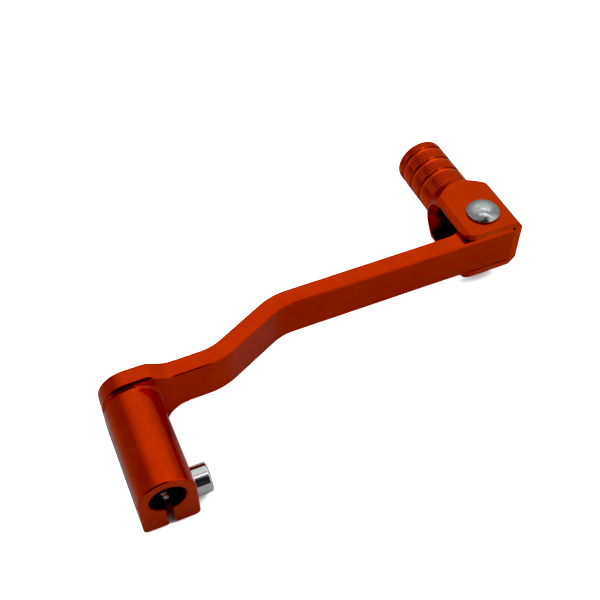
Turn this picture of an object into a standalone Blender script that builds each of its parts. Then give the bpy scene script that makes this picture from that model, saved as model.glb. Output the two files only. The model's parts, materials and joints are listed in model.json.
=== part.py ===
"""Motorcycle gear shift lever with a folding toe peg.

A one-piece aluminium lever clamps on the splined shift shaft with a pinch bolt.
Its outer end is a tongue between the two ears of the toe peg. A rivet joins them,
and a torsion spring round the rivet brings the peg back after a knock.

Frame: the origin is on the shaft's axis, at the hub's engine-side face.
+X runs along the arm to the toe peg, +Y runs outboard along the shaft, +Z is up.
"""

from math import asin, cos, pi, radians, sin, sqrt, tan

import bmesh
import bpy
from mathutils import Vector

MM = 0.001

# Hub: a tube with a round top and a flat, split bottom.
HUB_RADIUS = 9.5 * MM
HUB_DROP = 15.7 * MM  # shaft axis to the flat bottom
HUB_CORNER = 1.4 * MM
SPLINE_ROOT = 6.35 * MM
SPLINE_TIP = 5.85 * MM
SPLINE_TEETH = 36
BORE_DEPTH = 30 * MM
SLOT_WIDTH = 2.2 * MM
SLOT_LENGTH = 26 * MM

# Arm: a flat bar with one S-bend that carries it outboard.
ARM_WIDTH = 6.5 * MM
ARM_HALF_HEIGHT = 8.15 * MM
ARM_HUB_Y = 40.25 * MM  # middle of the bar at the hub, measured along the shaft
ARM_OFFSET = 13.4 * MM
BEND_START = 26.1 * MM
BEND_RADIUS = 21.5 * MM
BEND_ANGLE = radians(26.5)

# Outline of the bar round the hub, seen along the shaft.
CREST = 11.4 * MM  # top of the hub end
CREST_END = 6.4 * MM
CREST_RADIUS = 5 * MM  # rounds the crest over into the slope
DIP_SLOPE = radians(26.6)
DIP_RADIUS = 7 * MM  # hollow curve from the slope to the bar's top
THROAT_RADIUS = 9 * MM  # hollow curve from the hub's bottom to the bar's underside
THROAT_X = 19.5 * MM

# Pivot of the toe peg.
PIVOT_X = 144.7 * MM
PIVOT_Y = 60.5 * MM
PIVOT_HOLE = 3.2 * MM
TONGUE_RADIUS = 8.6 * MM
TONGUE_FILLET = 8 * MM

# Toe peg, measured from the pivot. Its own axis runs along +Y.
EAR_FRONT = -9.9 * MM
EAR_CORNER = 4.6 * MM
TURNING_X = -0.6 * MM  # the peg's turned axis stands this far inboard of the rivet
BASE_RADIUS = 15 * MM
BASE_HALF_WIDTH = 12 * MM
BASE_HALF_HEIGHT = 11.4 * MM
CLEVIS_HALF_GAP = 8.45 * MM
CLEVIS_ROUND_Y = 9.5 * MM  # where the clevis slot's round end begins
WEB_INSIDE = 8.9 * MM
SHOULDER_Y = 14 * MM
GRIP_START = 22 * MM
GRIP_END = 47 * MM
GRIP_RADIUS = 9.85 * MM
GRIP_ROUND = 1.5 * MM
GROOVE_Y = (28.2 * MM, 35 * MM, 41.8 * MM)
GROOVE_WIDTH = 2.6 * MM
GROOVE_DEPTH = 0.6 * MM

# Rivet, washer and spring at the pivot.
SEAT_GAP = 0.2 * MM
SHANK_RADIUS = 3 * MM
HEAD_RADIUS = 6.4 * MM
HEAD_RIM = 0.5 * MM
HEAD_HEIGHT = 3.2 * MM
TAIL_RADIUS = 4.6 * MM
TAIL_HEIGHT = 1.5 * MM
WASHER_RADIUS = 5.6 * MM
WASHER_THICKNESS = 1 * MM
SPRING_POCKET_RADIUS = 6 * MM
SPRING_POCKET_TOP = 1.5 * MM
SPRING_RADIUS = 4.7 * MM
SPRING_WIRE = 0.6 * MM  # radius of the wire
SPRING_TURNS = 5
SPRING_PITCH = 1.4 * MM
SPRING_LOW = -7.2 * MM
SPRING_LEG = 2.6 * MM
LEG_HOLE = 0.9 * MM

# Pinch bolt: M6 socket cap screw through the hub's split bottom.
BOLT_Y = 8.5 * MM
BOLT_Z = -10.5 * MM
BOLT_SHANK = 2.9 * MM
BOLT_HOLE = 3.2 * MM
BOLT_HEAD_RADIUS = 5 * MM
BOLT_HEAD_LENGTH = 6 * MM
BOLT_HEAD_ROUND = 0.8 * MM
BOLT_END = -7.5 * MM
SOCKET_ACROSS_FLATS = 5 * MM
SOCKET_DEPTH = 3 * MM

OUTSIDE = 30 * MM  # cutters reach this far past what they cut

PEG_SEGMENTS = 56
ROUND_SEGMENTS = 40
HOLE_SEGMENTS = 32
LEG_HOLE_SEGMENTS = 16
SPRING_STEPS = 20  # points in each turn of the spring


def arc(x, y, radius, first, last, steps):
    """Points on a circle from one angle to another, in degrees."""
    turns = [radians(first + (last - first) * i / steps) for i in range(steps + 1)]
    return [(x + radius * cos(a), y + radius * sin(a)) for a in turns]


def new_object(name, mesh, material=None, parent=None):
    thing = bpy.data.objects.new(name, mesh)
    bpy.context.scene.collection.objects.link(thing)
    thing.parent = parent
    if material:
        mesh.materials.append(material)
        mesh.shade_smooth()
        mesh.set_sharp_from_angle(angle=radians(35))
    else:
        thing.hide_render = True
        thing.display_type = "WIRE"
    return thing


def mesh_of(name, bm):
    bmesh.ops.recalc_face_normals(bm, faces=bm.faces)
    mesh = bpy.data.meshes.new(name)
    bm.to_mesh(mesh)
    bm.free()
    return mesh


def prism(name, outline, axis, start, end, **place):
    """An outline swept along X, Y or Z. It is drawn in the other two axes."""
    across = [i for i in range(3) if i != axis]
    bm = bmesh.new()
    corners = []
    for u, v in outline:
        point = Vector((0, 0, 0))
        point[across[0]] = u
        point[across[1]] = v
        point[axis] = start
        corners.append(bm.verts.new(point))
    face = bm.faces.new(corners)
    moved = bmesh.ops.extrude_face_region(bm, geom=[face])["geom"]
    step = Vector((0, 0, 0))
    step[axis] = end - start
    tops = [v for v in moved if isinstance(v, bmesh.types.BMVert)]
    bmesh.ops.translate(bm, verts=tops, vec=step)
    return new_object(name, mesh_of(name, bm), **place)


def turned(name, profile, axis, segments, shift_x=0, **place):
    """A profile of (radius, height) pairs, spun round an axis near the origin."""
    bm = bmesh.new()
    rings = []
    for radius, height in profile:
        count = segments if radius > 0 else 1
        ring = []
        for i in range(count):
            point = [0, 0, 0]
            point[axis] = height
            point[(axis + 1) % 3] = radius * cos(2 * pi * i / segments)
            point[(axis + 2) % 3] = radius * sin(2 * pi * i / segments)
            point[0] += shift_x
            ring.append(bm.verts.new(point))
        rings.append(ring)
    for low, high in zip(rings, rings[1:] + rings[:1]):
        if len(low) == len(high) == 1:
            continue
        for i in range(segments):
            corners = [low[i % len(low)], low[(i + 1) % len(low)]]
            corners += [high[(i + 1) % len(high)], high[i % len(high)]]
            bm.faces.new(dict.fromkeys(corners))
    return new_object(name, mesh_of(name, bm), **place)


def rod(name, radius, axis, start, end, segments=HOLE_SEGMENTS, **place):
    profile = [(0, start), (radius, start), (radius, end), (0, end)]
    return turned(name, profile, axis, segments, **place)


def combine(target, other, operation):
    modifier = target.modifiers.new(f"{operation.lower()} {other.name}", "BOOLEAN")
    modifier.operation = operation
    modifier.solver = "EXACT"
    modifier.object = other


def metal(name, colour, roughness):
    material = bpy.data.materials.new(name)
    material.use_nodes = True
    shader = material.node_tree.nodes["Principled BSDF"]
    shader.inputs["Base Color"].default_value = (*colour, 1)
    shader.inputs["Metallic"].default_value = 1
    shader.inputs["Roughness"].default_value = roughness
    return material


def bar_side(offset, steps=10):
    """One side of the S-bent bar in the X-Y plane, offset from its middle line."""
    turn = BEND_ANGLE
    straight = (ARM_OFFSET - 2 * BEND_RADIUS * (1 - cos(turn))) / sin(turn)
    first = (BEND_START, ARM_HUB_Y + BEND_RADIUS)
    run = 2 * BEND_RADIUS * sin(turn) + straight * cos(turn)
    second = (BEND_START + run, ARM_HUB_Y + ARM_OFFSET - BEND_RADIUS)
    degrees = turn * 180 / pi
    points = arc(*first, BEND_RADIUS - offset, -90, -90 + degrees, steps)
    points += arc(*second, BEND_RADIUS + offset, 90 + degrees, 90, steps)
    return points


def arm_plan():
    """The bar seen from above, with the round tongue at its outer end."""
    half = ARM_WIDTH / 2
    back_y = ARM_HUB_Y + ARM_OFFSET + half
    front_y = ARM_HUB_Y + ARM_OFFSET - half
    fillet_y = back_y + TONGUE_FILLET
    reach = TONGUE_RADIUS + TONGUE_FILLET
    fillet_x = PIVOT_X - sqrt(reach**2 - (fillet_y - PIVOT_Y) ** 2)
    slope = asin((fillet_y - PIVOT_Y) / reach) * 180 / pi
    end_x = PIVOT_X + TONGUE_RADIUS
    outline = [(-OUTSIDE, ARM_HUB_Y - half)] + bar_side(-half) + [(end_x, front_y)]
    outline += arc(PIVOT_X, PIVOT_Y, TONGUE_RADIUS, 0, 180 - slope, 18)
    outline += arc(fillet_x, fillet_y, TONGUE_FILLET, -slope, -90, 6)
    outline += bar_side(half)[::-1] + [(-OUTSIDE, ARM_HUB_Y + half)]
    return outline


def arm_elevation():
    """The bar seen along the shaft: round hub end, dip, straight bar and throat."""
    radii = CREST_RADIUS + DIP_RADIUS
    straight_drop = CREST - ARM_HALF_HEIGHT - radii * (1 - cos(DIP_SLOPE))
    dip_end = CREST_END + radii * sin(DIP_SLOPE) + straight_drop / tan(DIP_SLOPE)
    slope = DIP_SLOPE * 180 / pi
    far = PIVOT_X + OUTSIDE
    throat_z = -ARM_HALF_HEIGHT - THROAT_RADIUS
    throat_end = 180 - asin((-HUB_DROP - throat_z) / THROAT_RADIUS) * 180 / pi
    outline = arc(HUB_CORNER - HUB_RADIUS, HUB_CORNER - HUB_DROP, HUB_CORNER, 270, 180, 4)
    outline += arc(0, CREST - HUB_RADIUS, HUB_RADIUS, 180, 90, 16)
    outline += arc(CREST_END, CREST - CREST_RADIUS, CREST_RADIUS, 90, 90 - slope, 5)
    outline += arc(dip_end, ARM_HALF_HEIGHT + DIP_RADIUS, DIP_RADIUS, 270 - slope, 270, 6)
    outline += [(far, ARM_HALF_HEIGHT), (far, -ARM_HALF_HEIGHT)]
    outline += arc(THROAT_X, throat_z, THROAT_RADIUS, 90, throat_end, 14)
    return outline


def hub_outline():
    left = arc(HUB_CORNER - HUB_RADIUS, HUB_CORNER - HUB_DROP, HUB_CORNER, 270, 180, 4)
    right = arc(HUB_RADIUS - HUB_CORNER, HUB_CORNER - HUB_DROP, HUB_CORNER, 0, -90, 4)
    return left + arc(0, 0, HUB_RADIUS, 180, 0, 36) + right


def spline_outline():
    """Straight-sided teeth, each with a flat tip and a flat root."""
    points = []
    pitch = 2 * pi / SPLINE_TEETH
    for tooth in range(SPLINE_TEETH):
        for share in (-0.4, -0.15, 0.15, 0.4):
            radius = SPLINE_TIP if abs(share) < 0.25 else SPLINE_ROOT
            turn = (tooth + share) * pitch
            points.append((radius * cos(turn), radius * sin(turn)))
    return points


def make_lever_arm(material):
    """Hub, bar and tongue, machined from one piece."""
    plan = prism("arm_plan_stock", arm_plan(), 2, -OUTSIDE, OUTSIDE)
    arm = prism("lever_arm", arm_elevation(), 1, 0, PIVOT_Y + OUTSIDE, material=material)
    hub = prism("hub_stock", hub_outline(), 1, 0, ARM_HUB_Y)
    bore = prism("bore_cutter", spline_outline(), 1, -OUTSIDE, BORE_DEPTH)
    half_slot = SLOT_WIDTH / 2
    slot = [(half_slot, -OUTSIDE), (half_slot, 0), (-half_slot, 0), (-half_slot, -OUTSIDE)]
    split = prism("split_cutter", slot, 1, -OUTSIDE, SLOT_LENGTH)
    bolt_hole = rod("bolt_hole_cutter", BOLT_HOLE, 0, -OUTSIDE, OUTSIDE)
    bolt_hole.location = (0, BOLT_Y, BOLT_Z)
    pivot_hole = rod("pivot_hole_cutter", PIVOT_HOLE, 2, -OUTSIDE, OUTSIDE)
    roof = SPRING_POCKET_TOP
    pocket = rod("spring_pocket_cutter", SPRING_POCKET_RADIUS, 2, -OUTSIDE, roof, ROUND_SEGMENTS)
    leg_end = roof + 2 * SPRING_LEG
    leg_hole = rod("arm_leg_hole_cutter", LEG_HOLE, 2, 0, leg_end, LEG_HOLE_SEGMENTS)
    for cutter in (pivot_hole, pocket):
        cutter.location = (PIVOT_X, PIVOT_Y, 0)
    leg_hole.location = (PIVOT_X + SPRING_RADIUS, PIVOT_Y, 0)
    combine(arm, plan, "INTERSECT")
    combine(arm, hub, "UNION")
    for cutter in (bore, split, bolt_hole, pivot_hole, pocket, leg_hole):
        combine(arm, cutter, "DIFFERENCE")
    return arm


def peg_profile():
    """The peg's turned shape as (radius, distance from the pivot) pairs."""
    shoulder = [(0, EAR_FRONT), (BASE_RADIUS, EAR_FRONT), (BASE_RADIUS, SHOULDER_Y)]
    profile = shoulder + [(GRIP_RADIUS, GRIP_START)]
    half = GROOVE_WIDTH / 2
    floor = GRIP_RADIUS - GROOVE_DEPTH
    for y in GROOVE_Y:
        profile += [(GRIP_RADIUS, y - half), (floor, y - half / 2)]
        profile += [(floor, y + half / 2), (GRIP_RADIUS, y + half)]
    corner = GRIP_RADIUS - GRIP_ROUND
    return profile + arc(corner, GRIP_END - GRIP_ROUND, GRIP_ROUND, 0, 90, 4) + [(0, GRIP_END)]


def make_toe_peg(material, pivot):
    """A turned peg with flats, slotted to leave two ears and a web that is its stop."""
    place = {"material": material, "parent": pivot}
    peg = turned("toe_peg", peg_profile(), 1, PEG_SEGMENTS, TURNING_X, **place)
    wide = BASE_HALF_WIDTH
    corner = arc(EAR_CORNER - wide, EAR_FRONT + EAR_CORNER, EAR_CORNER, 270, 180, 6)
    plan = corner + [(-wide, 2 * GRIP_END), (wide, 2 * GRIP_END), (wide, EAR_FRONT)]
    flats = prism("peg_flats_stock", plan, 2, -BASE_HALF_HEIGHT, BASE_HALF_HEIGHT, parent=pivot)
    gap = [(-OUTSIDE, -CLEVIS_HALF_GAP)] + arc(CLEVIS_ROUND_Y, 0, CLEVIS_HALF_GAP, -90, 90, 24)
    gap += [(-OUTSIDE, CLEVIS_HALF_GAP)]
    clevis = prism("clevis_cutter", gap, 0, -OUTSIDE, WEB_INSIDE, parent=pivot)
    hole = rod("ear_hole_cutter", PIVOT_HOLE, 2, -OUTSIDE, OUTSIDE, parent=pivot)
    leg_end = -CLEVIS_HALF_GAP - SPRING_LEG
    segments = LEG_HOLE_SEGMENTS
    leg_hole = rod("ear_leg_hole_cutter", LEG_HOLE, 2, leg_end, 0, segments, parent=pivot)
    leg_hole.location.x = -SPRING_RADIUS
    combine(peg, flats, "INTERSECT")
    for cutter in (clevis, hole, leg_hole):
        combine(peg, cutter, "DIFFERENCE")
    return peg


def dome(radius, height, base, steps=6):
    """A domed head's profile, from its rim up to the axis."""
    ball = (radius**2 + height**2) / (2 * height)
    turn = asin(radius / ball)
    angles = [turn * (1 - i / steps) for i in range(steps)]
    rim_up = [(ball * sin(a), base + height - ball * (1 - cos(a))) for a in angles]
    return rim_up + [(0, base + height)]


def make_rivet(material, pivot):
    """Dome head above the upper ear, shank through both ears, peened tail below."""
    head = BASE_HALF_HEIGHT + SEAT_GAP
    tail = -BASE_HALF_HEIGHT - 2 * SEAT_GAP - WASHER_THICKNESS
    bottom = [(r, -z) for r, z in reversed(dome(TAIL_RADIUS, TAIL_HEIGHT, -tail, 4))]
    profile = bottom + [(SHANK_RADIUS, tail), (SHANK_RADIUS, head), (HEAD_RADIUS, head)]
    profile += dome(HEAD_RADIUS, HEAD_HEIGHT - HEAD_RIM, head + HEAD_RIM)
    return turned("pivot_rivet", profile, 2, ROUND_SEGMENTS, material=material, parent=pivot)


def make_washer(material, pivot):
    top = -BASE_HALF_HEIGHT - SEAT_GAP
    low = top - WASHER_THICKNESS
    ring = [(PIVOT_HOLE, low), (WASHER_RADIUS, low), (WASHER_RADIUS, top), (PIVOT_HOLE, top)]
    return turned("rivet_washer", ring, 2, ROUND_SEGMENTS, material=material, parent=pivot)


def spring_path():
    """Lower leg down into the ear, coils, upper leg up into the tongue."""
    total = round((SPRING_TURNS + 0.5) * SPRING_STEPS)
    coil = []
    for i in range(total + 1):
        turn = pi + 2 * pi * i / SPRING_STEPS
        height = SPRING_LOW + SPRING_PITCH * i / SPRING_STEPS
        coil.append(Vector((SPRING_RADIUS * cos(turn), SPRING_RADIUS * sin(turn), height)))
    low_leg = coil[0] - Vector((0, 0, SPRING_LEG))
    high_leg = coil[-1] + Vector((0, 0, SPRING_LEG))
    return [low_leg] + coil + [high_leg]


def make_spring(material, pivot):
    curve = bpy.data.curves.new("return_spring_path", "CURVE")
    curve.dimensions = "3D"
    curve.bevel_depth = SPRING_WIRE
    curve.bevel_resolution = 1
    curve.use_fill_caps = True
    points = spring_path()
    spline = curve.splines.new("POLY")
    spline.points.add(len(points) - 1)
    for spot, point in zip(spline.points, points):
        spot.co = (*point, 1)
    curve.materials.append(material)
    spring = bpy.data.objects.new("return_spring", curve)
    bpy.context.scene.collection.objects.link(spring)
    spring.parent = pivot
    return spring


def make_pinch_bolt(material):
    """Socket cap screw; its head stands on the hub's +X side."""
    seat = HUB_RADIUS + SEAT_GAP
    top = seat + BOLT_HEAD_LENGTH
    corner = BOLT_HEAD_RADIUS - BOLT_HEAD_ROUND
    profile = [(0, BOLT_END), (BOLT_SHANK, BOLT_END), (BOLT_SHANK, seat)]
    profile += [(BOLT_HEAD_RADIUS, seat)]
    profile += arc(corner, top - BOLT_HEAD_ROUND, BOLT_HEAD_ROUND, 0, 90, 4) + [(0, top)]
    bolt = turned("pinch_bolt", profile, 0, ROUND_SEGMENTS, material=material)
    key = SOCKET_ACROSS_FLATS / sqrt(3)
    hexagon = [(key * cos(i * pi / 3), key * sin(i * pi / 3)) for i in range(6)]
    socket = prism("socket_cutter", hexagon, 0, top - SOCKET_DEPTH, top + OUTSIDE)
    combine(bolt, socket, "DIFFERENCE")
    for thing in (bolt, socket):
        thing.location = (0, BOLT_Y, BOLT_Z)
    return bolt


def main():
    for old in list(bpy.data.objects):
        bpy.data.objects.remove(old, do_unlink=True)
    anodised = metal("anodised_aluminium", (0.52, 0.035, 0.003), 0.34)
    knurled = metal("anodised_knurl", (0.48, 0.03, 0.003), 0.38)
    satin = metal("satin_steel", (0.56, 0.6, 0.6), 0.34)
    spring_steel = metal("spring_steel", (0.35, 0.35, 0.36), 0.3)
    chrome = metal("chrome", (0.85, 0.87, 0.88), 0.07)
    pivot = bpy.data.objects.new("peg_pivot", None)
    bpy.context.scene.collection.objects.link(pivot)
    pivot.location = (PIVOT_X, PIVOT_Y, 0)
    make_lever_arm(anodised)
    make_toe_peg(knurled, pivot)
    make_rivet(satin, pivot)
    make_washer(satin, pivot)
    make_spring(spring_steel, pivot)
    make_pinch_bolt(chrome)


main()
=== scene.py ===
"""Looks of a motorcycle gear shift lever with a folding toe peg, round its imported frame.

Metres, in the frame's own axes: +X along the arm, +Y outboard along the shaft, +Z up.
Each piece is modelled in mesh code at the place its CAD node holds.
"""

import json
from math import asin, cos, degrees, pi, radians, sin, sqrt, tan

import bmesh
import bpy
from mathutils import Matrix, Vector


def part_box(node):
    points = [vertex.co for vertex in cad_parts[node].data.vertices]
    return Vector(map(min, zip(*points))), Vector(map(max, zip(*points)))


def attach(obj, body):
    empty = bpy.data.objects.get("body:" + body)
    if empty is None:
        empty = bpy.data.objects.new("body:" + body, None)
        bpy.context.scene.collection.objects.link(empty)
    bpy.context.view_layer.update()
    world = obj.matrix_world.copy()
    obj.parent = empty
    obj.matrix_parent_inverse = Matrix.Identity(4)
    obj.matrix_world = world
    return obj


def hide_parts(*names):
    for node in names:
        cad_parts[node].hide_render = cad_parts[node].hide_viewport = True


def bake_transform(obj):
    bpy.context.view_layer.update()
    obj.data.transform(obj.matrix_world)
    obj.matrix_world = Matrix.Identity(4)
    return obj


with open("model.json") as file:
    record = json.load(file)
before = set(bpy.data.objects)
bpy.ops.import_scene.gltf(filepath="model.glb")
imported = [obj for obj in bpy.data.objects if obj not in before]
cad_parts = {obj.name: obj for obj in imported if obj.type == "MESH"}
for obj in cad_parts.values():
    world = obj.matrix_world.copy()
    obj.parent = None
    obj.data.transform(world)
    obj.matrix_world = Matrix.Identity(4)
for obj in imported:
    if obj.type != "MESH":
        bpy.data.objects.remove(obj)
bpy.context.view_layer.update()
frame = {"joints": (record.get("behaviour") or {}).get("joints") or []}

MM = 0.001

# Read from the frame.
ARM_LOW, ARM_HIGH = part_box("lever_arm")
PEG_LOW, PEG_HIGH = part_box("toe_peg")
RIVET_LOW, RIVET_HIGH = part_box("pivot_rivet")
WASHER_LOW, WASHER_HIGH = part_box("rivet_washer")
BOLT_LOW, BOLT_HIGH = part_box("pinch_bolt")
PIVOT = Vector(frame["joints"][0]["pos_m"])
HUB_RADIUS = -ARM_LOW.x
HUB_DROP = -ARM_LOW.z  # shaft axis to the flat bottom
CREST = ARM_HIGH.z  # top of the hub end
TONGUE_RADIUS = ARM_HIGH.x - PIVOT.x
BOLT_CENTRE = (0, (BOLT_LOW.y + BOLT_HIGH.y) / 2, (BOLT_LOW.z + BOLT_HIGH.z) / 2)
FLOOR_Z = min(ARM_LOW.z, RIVET_LOW.z)

# Hub.
HUB_CORNER = 1.4 * MM
RIM_CHAMFER = 0.35 * MM
ROOT_FILLET = 1.2 * MM  # hollow curve where the tube meets the plate
SPLINE_ROOT = 6.35 * MM
SPLINE_TIP = 5.85 * MM
SPLINE_TEETH = 36
BORE_DEPTH = 30 * MM
BORE_CHAMFER = 0.2 * MM
SLOT_WIDTH = 2.2 * MM
SLOT_LENGTH = 26 * MM
EDGE_BREAK = 0.3 * MM

# Arm: a flat bar with one S-bend that carries it outboard.
ARM_WIDTH = 6.5 * MM
ARM_HALF_HEIGHT = 8.15 * MM
ARM_HUB_Y = 40.25 * MM  # middle of the bar at the hub, measured along the shaft
ARM_OFFSET = 13.4 * MM
BEND_START = 26.1 * MM
BEND_RADIUS = 21.5 * MM
BEND_ANGLE = radians(26.5)
CREST_END = 6.4 * MM
CREST_RADIUS = 5 * MM  # rounds the crest over into the slope
DIP_SLOPE = radians(26.6)
DIP_RADIUS = 7 * MM  # hollow curve from the slope to the bar's top
THROAT_RADIUS = 9 * MM
THROAT_X = 19.5 * MM
DIP_START = 9 * MM  # the dip behind the crest, where the long bevel is slight
DIP_END = 17 * MM
LEAST_BEVEL = 0.16  # share of the long bevel on the underside
TONGUE_FILLET = 8 * MM
TONGUE_CORNER = 0.7 * MM  # cut off the top of the tongue's end
CHAMFER_ACROSS = 0.78 * MM  # the long bevel of the front top edge
CHAMFER_DOWN = 0.92 * MM
BACK_BREAK = 0.12 * MM
EDGE_ROUND = 0.16 * MM
BEND_STEP = 0.6 * MM  # the bar is divided this often where it bends

# Toe peg, measured from the pivot. Its own axis runs along +Y.
EAR_CORNER = 4.6 * MM
EAR_BEVEL = 0.22 * MM
TURNING = PIVOT + Vector((-0.6 * MM, 0, 0))  # the turned parts' own axis goes through this
BASE_RADIUS = 15 * MM
CLEVIS_HALF_GAP = 8.6 * MM
CLEVIS_ROUND_Y = 9.5 * MM
WEB_INSIDE = 8.66 * MM  # the web is the peg's stop: it all but touches the tongue's end
SHOULDER_Y = 14 * MM
GRIP_START = 22 * MM
GRIP_RADIUS = 9.85 * MM
GRIP_ROUND = 1.5 * MM
GROOVE_Y = (28.2 * MM, 35 * MM, 41.8 * MM)
GROOVE_WIDTH = 2.6 * MM
GROOVE_DEPTH = 0.55 * MM
KNURL_TEETH = 64
KNURL_DEPTH = 0.4 * MM
KNURL_FADE = 0.35 * MM
KNURL_STEEPNESS = 2.5  # a higher number narrows the crests and widens the valleys
PIVOT_HOLE = 3.2 * MM
LEG_HOLE = 0.9 * MM

# Rivet, spring and bolt.
SHANK_RADIUS = 3 * MM
HEAD_RIM = 0.5 * MM
HEAD_INSET = 0.15 * MM  # the worn rim stands this far inside the plain CAD head
TAIL_RADIUS = 4.6 * MM
TAIL_HEIGHT = 1.5 * MM
SPRING_POCKET_RADIUS = 6 * MM
SPRING_POCKET_TOP = 1.5 * MM
SPRING_RADIUS = 4.7 * MM
SPRING_WIRE = 0.6 * MM  # radius of the wire
SPRING_TURNS = 5.5
SPRING_PITCH = 1.4 * MM
SPRING_BASE = PIVOT + Vector((0, 0, -7.2 * MM))
SPRING_LEG = 2.6 * MM
BOLT_HOLE = 3.2 * MM
THREAD_RADIUS = 2.9 * MM
THREAD_DEPTH = 0.45 * MM
THREAD_PITCH = 1 * MM
THREAD_STEEPNESS = 1.3
THREAD_CREST = 0.15  # leaves a narrow flat on the crests
SEAT_GAP = 0.2 * MM
HEAD_ROUND = 0.8 * MM
SOCKET_ACROSS_FLATS = 5 * MM
SOCKET_DEPTH = 3 * MM

OUTSIDE = 30 * MM  # cutters reach this far past what they cut
SLIVER = 0.001 * MM  # points closer than this are merged after the cuts

# The camera that was fitted to the photograph.
CAMERA_PLACE = (-0.0192, -0.1443, 0.2553)
CAMERA_TILT = radians(40.71)
CAMERA_HEADING = radians(-23.58)
CAMERA_LENS = 56.24  # mm, on a sensor 36 mm wide

# Two floors: one is seen, and a greyer one just below it lights the object from beneath.
FLOOR_SIZE = 80  # metres, out to the horizon
FLOOR_GAP = 0.2 * MM
FLOOR_PALE = (0.9, 0.9, 0.9)
FLOOR_GREY = (0.43, 0.43, 0.43)

# Wide soft suns that only a floor takes: name, way and strength. The low ones from behind
# and from the sides get under the lever, so that the floor there stays pale.
BOUNCE_LIGHT = ("floor_fill", (0, 0, 1), 5.6)
SEEN_LIGHTS = [
    ("floor_back", (0, 0.85, 0.53), 8),
    ("floor_left", (-0.8, 0.2, 0.55), 8),
    ("floor_right", (0.85, 0.1, 0.5), 8),
]
FLOOR_LIGHT_SPREAD = radians(50)

# Soft boxes: name, way, distance, size, radiance and turn about their own axis.
STRIPS = [
    ("overhead_strip", (0.05, -0.13, 0.99), 0.9, (0.55, 0.09), 1.8, radians(-54)),
    ("peg_strip", (0.4, -0.27, 0.87), 0.9, (0.7, 0.07), 1.5, radians(85)),
    ("back_strip", (0.435, 0.249, 0.865), 0.88, (0.55, 0.14), 1.0, radians(28)),
]
PEG_ONLY_LIGHT = ("peg_side", (-0.72, 0.6, 0.33), 0.9, (0.5, 0.45), 0.25, 0)

ROOM_LEVEL = 0.29  # how bright the room is where nothing glows
DARK_SHARE = 0.95  # how much of that the dark stretch takes away
BLACK_LEVEL = 0.008


# ---------------------------------------------------------------- outlines


def arc(x, y, radius, first, last, steps):
    """Points on a circle from one angle to another, in degrees."""
    turns = [radians(first + (last - first) * i / steps) for i in range(steps + 1)]
    return [(x + radius * cos(a), y + radius * sin(a)) for a in turns]


def soften(points, radius, steps=3):
    """The same open line with each inner corner rounded."""
    line = [Vector(p) for p in points]
    out = [line[0]]
    for before, corner, after in zip(line, line[1:], line[2:]):
        reach = min(radius, (before - corner).length / 2.2, (after - corner).length / 2.2)
        start = corner + (before - corner).normalized() * reach
        end = corner + (after - corner).normalized() * reach
        for i in range(steps + 1):
            t = i / steps
            out.append(start * (1 - t) ** 2 + corner * 2 * t * (1 - t) + end * t**2)
    return [tuple(p) for p in out + [line[-1]]]


def inset(outline, depths):
    """A clockwise closed outline moved inwards, by its own depth at each point."""
    moved = []
    count = len(outline)
    for i in range(count):
        here = Vector(outline[i])
        before = (here - Vector(outline[i - 1])).normalized()
        after = (Vector(outline[(i + 1) % count]) - here).normalized()
        inward = [Vector((way.y, -way.x)) for way in (before, after)]
        push = (inward[0] + inward[1]) / (1 + inward[0].dot(inward[1]))
        moved.append(tuple(here + push * depths[i]))
    return moved


def reach_to(outline, start, way):
    """How far a ray goes from a point inside a closed outline before it leaves it."""
    nearest = OUTSIDE
    start = Vector(start)
    for i in range(len(outline)):
        a = Vector(outline[i - 1]) - start
        b = Vector(outline[i]) - start
        edge = b - a
        across = way.x * edge.y - way.y * edge.x
        if abs(across) < 1e-12:
            continue
        distance = (a.x * edge.y - a.y * edge.x) / across
        along = (a.x * way.y - a.y * way.x) / across
        if distance > 0 and -1e-9 <= along <= 1 + 1e-9:
            nearest = min(nearest, distance)
    return nearest


# ------------------------------------------------------------------ meshes


def new_object(name, bm):
    bmesh.ops.recalc_face_normals(bm, faces=bm.faces)
    mesh = bpy.data.meshes.new(name)
    bm.to_mesh(mesh)
    bm.free()
    thing = bpy.data.objects.new(name, mesh)
    bpy.context.scene.collection.objects.link(thing)
    return thing


def loft_bmesh(rings, closed=False):
    """Faces between rings of points. A ring of one point is a pole, and open ends are capped."""
    bm = bmesh.new()
    rows = [[bm.verts.new(point) for point in ring] for ring in rings]
    pairs = list(zip(rows, rows[1:]))
    if closed:
        pairs.append((rows[-1], rows[0]))
    for low, high in pairs:
        for i in range(max(len(low), len(high))):
            corners = [low[i % len(low)], low[(i + 1) % len(low)]]
            corners += [high[(i + 1) % len(high)], high[i % len(high)]]
            bm.faces.new(dict.fromkeys(corners))
    for row in () if closed else (rows[0], rows[-1]):
        if len(row) > 2:
            bm.faces.new(row)
    return bm


def loft(name, rings, closed=False):
    return new_object(name, loft_bmesh(rings, closed))


def prism(name, outline, axis, start, end):
    """An outline swept along X, Y or Z. It is drawn in the other two axes."""
    across = [i for i in range(3) if i != axis]
    rings = []
    for level in (start, end):
        ring = []
        for u, v in outline:
            point = Vector((0, 0, 0))
            point[across[0]] = u
            point[across[1]] = v
            point[axis] = level
            ring.append(point)
        rings.append(ring)
    return loft(name, rings)


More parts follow.
